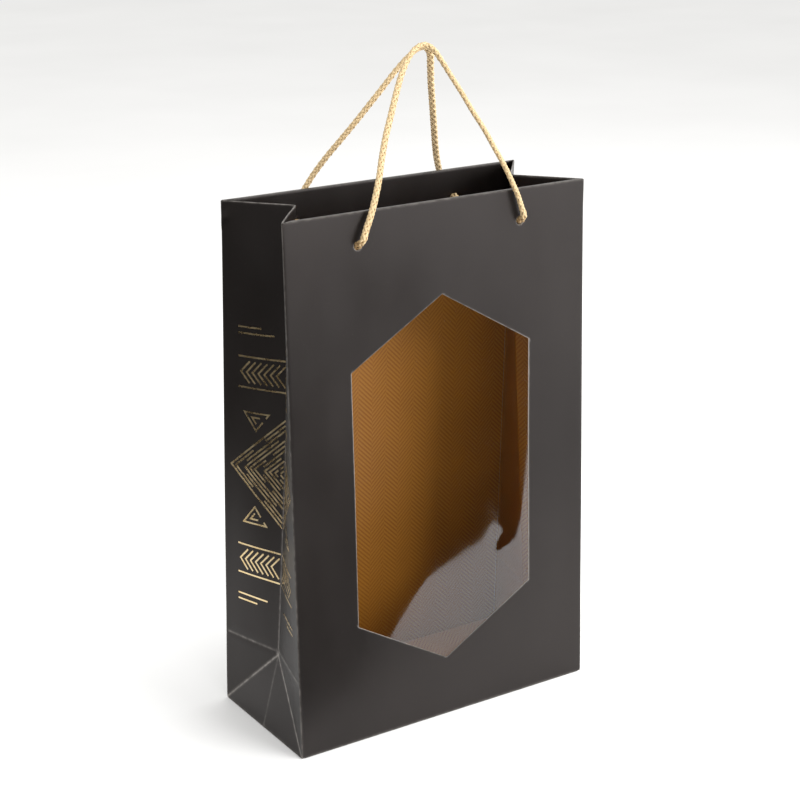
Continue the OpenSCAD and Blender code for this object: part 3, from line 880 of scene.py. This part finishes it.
def hem_extra(z):
    """How much further in a panel's hem lies to pass its board. It fades out below the board."""
    return (BOARD + GLUE) * ease(z, HEIGHT - 40.5 * MM, HEIGHT - 37.6 * MM)


def add_hem(name, node, start, width, holes=()):
    """Paper folded over the rim: it starts where the wall ends, rolls over the top and runs down inside."""
    turn = np.linspace(0, math.pi / 2, 4)
    leg = np.concatenate([[1.2, 2.4], np.arange(5, 40, 2.5), [38.4, 39.2, 40]]) * MM
    close = np.array([0.4, 0.95, 2.0]) * MM
    even = np.linspace(0, width, max(12, round(width / (3.5 * MM))))
    middle = [SPAN - close, SPAN + close] if width == DEPTH else []
    columns = np.unique(np.concatenate([even, close, width - close, *middle]))
    # Unrolled height: 0 at the wall's top edge, growing over the rim and down the leg
    roll = [("out", a) for a in turn] + [("in", a) for a in turn] + [("leg", d) for d in leg]
    unrolled = np.cumsum([0] + [0.3 * MM] * (len(turn) * 2 - 1) + list(np.diff([0, *leg])))
    flat = np.array([(start + c, u) for u in unrolled for c in columns])
    n = len(columns)
    starts = [i * n + j for i in range(len(roll) - 1) for j in range(n - 1)]
    faces = [(a, a + 1, a + n + 1, a + n) for a in starts]

    def skin(under):
        """Places of the points on the hem's outer skin, or under it."""
        rows = []
        radius = RIM_R - under * 0.6
        top = HEIGHT - under * 0.6 - radius
        for kind, value in roll:
            if kind == "out":
                z, extra = top + radius * math.sin(value), 0.0
                depth = under * 0.9 + radius * (1 - math.cos(value))
            elif kind == "in":
                z, extra = top + radius * math.cos(value), BOARD + GLUE
                depth = HEM_DEPTH - under * 0.9 - radius * (1 - math.sin(value))
            else:
                z, depth = HEIGHT - RIM_R - value, HEM_DEPTH - under
                extra = hem_extra(z)
            rows.append(sheet_point(start + columns, np.full(n, z), depth, extra))
        return np.vstack(rows)

    outer, inner = skin(0.0), skin(PAPER)
    centres = np.array([outer[list(f)].mean(axis=0) for f in faces])
    for x in holes:
        # The faces that a rope hole covers are left out
        clear = np.hypot(centres[:, 0] - x, centres[:, 2] - HOLE_Z) > HOLE_R * 1.02
        faces, centres = [f for f, k in zip(faces, clear) if k], centres[clear]
    strength = 0.35 if width == WIDTH else 0.9
    wear = strength * np.clip(1 - np.abs(flat[:, 1] - 0.9 * MM) / (1.6 * MM), 0, 1)
    piece = slab(name, flat, faces, outer, inner, PAPER_SLOTS, wear=wear)
    return finish_piece(piece, node)


def add_hems():
    holes = (-HOLE_X, HOLE_X)
    add_hem("front_hem_leaf", "front_hem", 0.0, WIDTH, holes)
    add_hem("back_hem_leaf", "back_hem", S_BACK, WIDTH, holes)
    add_hem("right_hem_leaf", "right_gusset_hem", S_RIGHT, DEPTH)
    add_hem("left_hem_leaf", "left_gusset_hem", S_LEFT, DEPTH)


FILM_T = 0.12 * MM
FILM_SAG = 0.5 * MM
DENT_X, DENT_Z, DENT_DEPTH = 44 * MM, 111 * MM, 0.32 * MM  # middle and depth of the film's dent


def add_film():
    """Window film behind the front panel, glued along its margin and slack in the opening, with one dent."""
    low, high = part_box("window_film")
    left, right = WIDTH / 2 + low.x, WIDTH / 2 + high.x
    flat, faces = flat_mesh([(left, low.z), (right, low.z), (right, high.z), (left, high.z)], 3.5 * MM)
    s, z = flat[:, 0], flat[:, 1]
    loop = np.array(WINDOW)
    free = ease(np.where(inside(flat, loop), edge_distance(flat, loop), 0), 0, 26 * MM)
    slack = free * (0.26 * ripple(s * 0.8 + 0.4, z * 0.7) + 0.08 * ripple(s * 2.1, z * 1.6)) * MM
    dx, dz = s - WIDTH / 2 - DENT_X, z - DENT_Z
    along, across = dx * 0.76 + dz * 0.65, dz * 0.76 - dx * 0.65
    dent = np.exp(-(along / (7 * MM)) ** 2 - (across / np.where(across > 0, 6 * MM, 1.8 * MM)) ** 2)
    depth = PAPER + GLUE + FILM_SAG * free + slack + DENT_DEPTH * dent * free
    outer, inner = sheet_point(s, z, depth), sheet_point(s, z, depth + FILM_T)
    piece = slab("film_pane", flat, faces, outer, inner, [FILM])
    return finish_piece(piece, "window_film")


# ---- Foil pattern: (u, v) paths in millimetres, u out from the centre crease, v up from FOIL_Z ----

FOIL_Z = 170 * MM
FOIL_W = 1.1 * MM
FOIL_STEP = 3.0
FOIL_INNER = 0.9
DIAMOND_HALF_W, DIAMOND_SLOPE, DIAMOND_RINGS = 43, 0.84, 11
RAIL_U, BLOCK_V, BLOCK_HALF_H = 37, 63, 10
CHEVRONS, CHEVRON_STEP = 7, 4.4
BAR_V = 88
RING_SHARES = [[(0, 1)], [(0, 0.38), (0.62, 1)], [(0, 0.84)], [(0.16, 1)]]
CORNER_TRIANGLE = [[(15.5, 34.5), (13.5, 37), (32, 37), (22.8, 25.5), (18, 31.5)],
                   [(20, 34), (26, 34), (22.8, 30)]]


def diamond(k):
    """Paths of one ring of the diamond. Some rings are broken lines."""
    tip = DIAMOND_HALF_W * (1 - k / DIAMOND_RINGS)
    top = (tip - FOIL_INNER) * DIAMOND_SLOPE
    paths = []
    for share in RING_SHARES[k % 4]:
        side = [(FOIL_INNER + (tip - FOIL_INNER) * f, top * (1 - f)) for f in share]
        if share[1] == 1:
            paths.append([side[0], side[1], (side[0][0], -side[0][1])])
        else:
            paths += [[(u, way * v) for u, v in side] for way in (-1, 1)]
    return paths


def foil_paths():
    paths = [path for k in range(DIAMOND_RINGS) for path in diamond(k)]
    for way in (-1, 1):
        block, bar = way * BLOCK_V, way * BAR_V
        paths += [[(u, way * v) for u, v in path] for path in CORNER_TRIANGLE]
        paths += [[(FOIL_INNER, block + v), (RAIL_U, block + v)] for v in (-BLOCK_HALF_H, BLOCK_HALF_H)]
        for i in range(CHEVRONS):
            u = 2 + CHEVRON_STEP * i
            paths.append([(u, block - 7), (u + 6.5, block), (u, block + 7)])
        paths.append([(11, bar), (RAIL_U, bar)])
        paths.append([(20, way * (BAR_V + 4)), (RAIL_U, way * (BAR_V + 4))])
    return paths


def foil_strip(path):
    """Left and right edges of a line along a path, mitred at its corners, in millimetres."""
    line = densify(path, FOIL_STEP, closed=False)
    ahead = unit(np.diff(line, axis=0))
    before, after = np.vstack([ahead[:1], ahead]), np.vstack([ahead, ahead[-1:]])
    mean = unit(before + after)
    half = np.column_stack([-mean[:, 1], mean[:, 0]]) / (mean * before).sum(axis=1)[:, None] * FOIL_W / MM / 2
    return line + half, line - half


def add_foil(side, middle):
    points, faces = [], []
    lift, foot = 0.07 * MM, -0.02 * MM
    for way in (-1, 1):
        for path in foil_paths():
            left, right = foil_strip(path)
            edges = (left, right) if way > 0 else (right, left)
            base, n = len(points), len(left)
            for edge, off in ((edges[0], foot), (edges[0], lift), (edges[1], lift), (edges[1], foot)):
                s, z = middle + way * edge[:, 0] * MM, FOIL_Z + edge[:, 1] * MM
                points.extend(sheet_point(s, z, -off))
            for i in range(n - 1):
                for row in range(4):
                    a, b = base + row * n + i, base + (row + 1) % 4 * n + i
                    faces.append((a, b, b + 1, a + 1))
            faces.append(tuple(base + row * n for row in (3, 2, 1, 0)))
            faces.append(tuple(base + row * n + n - 1 for row in (0, 1, 2, 3)))
    piece = add_mesh(f"{side}_foil_lines", points, faces, [FOIL])
    piece.data.polygons.foreach_set("use_smooth", [False] * len(faces))
    return finish_piece(piece, f"{side}_foil_pattern")


# ---- Bottom ----

def plate(name, node, outline, height, thickness, materials):
    """Thin piece whose outline is given in x and y. height gives z of its lower skin."""
    flat, faces = flat_mesh(outline, 6 * MM)
    z = np.broadcast_to(height(flat[:, 0], flat[:, 1]), len(flat))
    low, high = np.column_stack([flat, z]), np.column_stack([flat, z + thickness])
    # The lower skin is seen from below, so the upper one is the slab's outer side here
    piece = slab(name, flat, faces, high, low, materials, wear=np.zeros(len(flat)))
    return finish_piece(piece, node)


def add_bottom():
    root = DEPTH / 2 + UNDER
    half = WIDTH / 2 - 0.6 * MM
    reach, taper = 10 * MM, 17 * MM
    step_up = PAPER + GLUE

    def front_flap(x, y):
        return 0.0

    def rear_flap(x, y):
        return step_up * (1 - ease(y, reach + 0.5 * MM, reach + 4 * MM))

    def end_flap(x, y):
        curl = 0.35 * MM * ease(np.abs(x), 0, WIDTH / 2) * ease(np.abs(y), 30 * MM, 48 * MM)
        return 2 * step_up + curl

    skins = [LINING, BLACK, CORE]
    front = [(-half, -root), (half, -root), (half - taper, reach), (-half + taper, reach)]
    rear = [(-half + taper, -reach), (half - taper, -reach), (half, root), (-half, root)]
    plate("front_bottom_leaf", "front_bottom_flap", front, front_flap, PAPER, skins)
    plate("rear_bottom_leaf", "rear_bottom_flap", rear, rear_flap, PAPER, skins)
    end_x, end_y, fold = WIDTH / 2 - 1.5 * MM, DEPTH / 2 - 1 * MM, 35 * MM
    for side, way in (("left", -1), ("right", 1)):
        outline = [(way * end_x, -end_y), (way * end_x, end_y), (way * (end_x - fold), end_y - fold),
                   (way * (end_x - fold), fold - end_y)]
        plate(f"{side}_end_leaf", f"{side}_end_flap", outline[::way], end_flap, PAPER, skins)
    low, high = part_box("base_board")
    radius = 2 * MM
    outline = []
    for cx, cy, turn in ((1, -1, -90), (1, 1, 0), (-1, 1, 90), (-1, -1, 180)):
        for a in (0, 30, 60, 90):
            angle = math.radians(turn + a)
            outline.append((cx * (high.x - radius) + radius * math.cos(angle),
                            cy * (high.y - radius) + radius * math.sin(angle)))

    def board(x, y):
        return low.z + 0.25 * MM * (ripple(x, y + 0.3) + 1)

    plate("base_board_sheet", "base_board", outline, board, high.z - low.z,
          [LINING, BOARD_SKIN, BOARD_SKIN])


def dress_rim_boards():
    """The rim boards keep their CAD shape and get a finished material."""
    for name in ("front_rim_board", "back_rim_board"):
        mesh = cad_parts[name].data
        mesh.materials.clear()
        mesh.materials.append(BOARD_SKIN)


add_walls()
add_hems()
add_film()
add_foil("right", S_RIGHT + SPAN)
add_foil("left", S_LEFT + SPAN)
add_bottom()
dress_rim_boards()


# ---- Floor and light ----

def add_floor():
    half = 9.0
    floor = add_mesh("floor", [(-half, -half, 0), (half, -half, 0), (half, half, 0), (-half, half, 0)],
                     [(0, 1, 2, 3)], [plain_floor()])
    floor.location.z = -0.2 * MM


def add_area_light(name, place, aim, size, power):
    data = bpy.data.lights.new(name, "AREA")
    data.shape = "RECTANGLE"
    data.size, data.size_y = size
    data.energy = power
    light = bpy.data.objects.new(name, data)
    light.location = place
    light.rotation_euler = (Vector(aim) - Vector(place)).to_track_quat("-Z", "Y").to_euler()
    light.visible_camera = False
    bpy.context.scene.collection.objects.link(light)


def add_flag(name, outline):
    """Dark card that only reflections see, as a photographer sets one out of the picture."""
    card = Surface("flag_cloth", Roughness=0.95, Specular_IOR_Level=0.0)
    card.set("Base Color", card.mix(card.noise(20), (0.010, 0.009, 0.008, 1), (0.016, 0.014, 0.013, 1)))
    flag = add_mesh(name, outline, [tuple(range(len(outline)))], [card.material])
    for ray in ("camera", "diffuse", "transmission", "shadow"):
        setattr(flag, "visible_" + ray, False)


def add_light():
    world = bpy.data.worlds.new("studio")
    world.use_nodes = True
    sky = world.node_tree.nodes["Background"].inputs
    sky["Color"].default_value = (1.0, 0.995, 0.985, 1)
    sky["Strength"].default_value = 0.88
    bpy.context.scene.world = world
    add_area_light("top_softbox", (0.1, -0.2, 1.9), (0, 0.05, 0.2), (1.6, 1.6), 14)
    add_area_light("key_softbox", (0.62, -1.35, 0.6), (0.0, 0.0, 0.28), (0.9, 0.7), 21)
    add_area_light("side_softbox", (1.5, -0.35, 0.8), (0.0, 0.0, 0.3), (0.8, 0.8), 15)
    # In reflections the pale floor ends a little way before the bag and to its left, and the room is dark
    front = [(-2.5, -0.07), (-0.14, -0.07), (0.0, -0.14), (0.07, -0.21), (0.119, -0.25), (0.175, -0.28),
             (0.215, -0.295), (0.256, -0.334), (0.303, -0.387), (0.383, -0.472), (1.6, -1.9), (1.6, -4.0),
             (-2.5, -4.0)]
    left = [(-3.5, -0.07), (-3.5, 3.0), (-0.41, 1.2), (-0.41, -0.07)]
    for name, outline in (("front_flag", front), ("left_flag", left)):
        add_flag(name, [(x, y, 0.5 * MM) for x, y in outline])
    add_flag("room_flag", [(-3.0, -2.6, 0.01), (3.5, -2.6, 0.01), (3.5, -2.6, 2.6), (-3.0, -2.6, 2.6)])


add_floor()
add_light()
bpy.context.scene.view_settings.view_transform = "Standard"
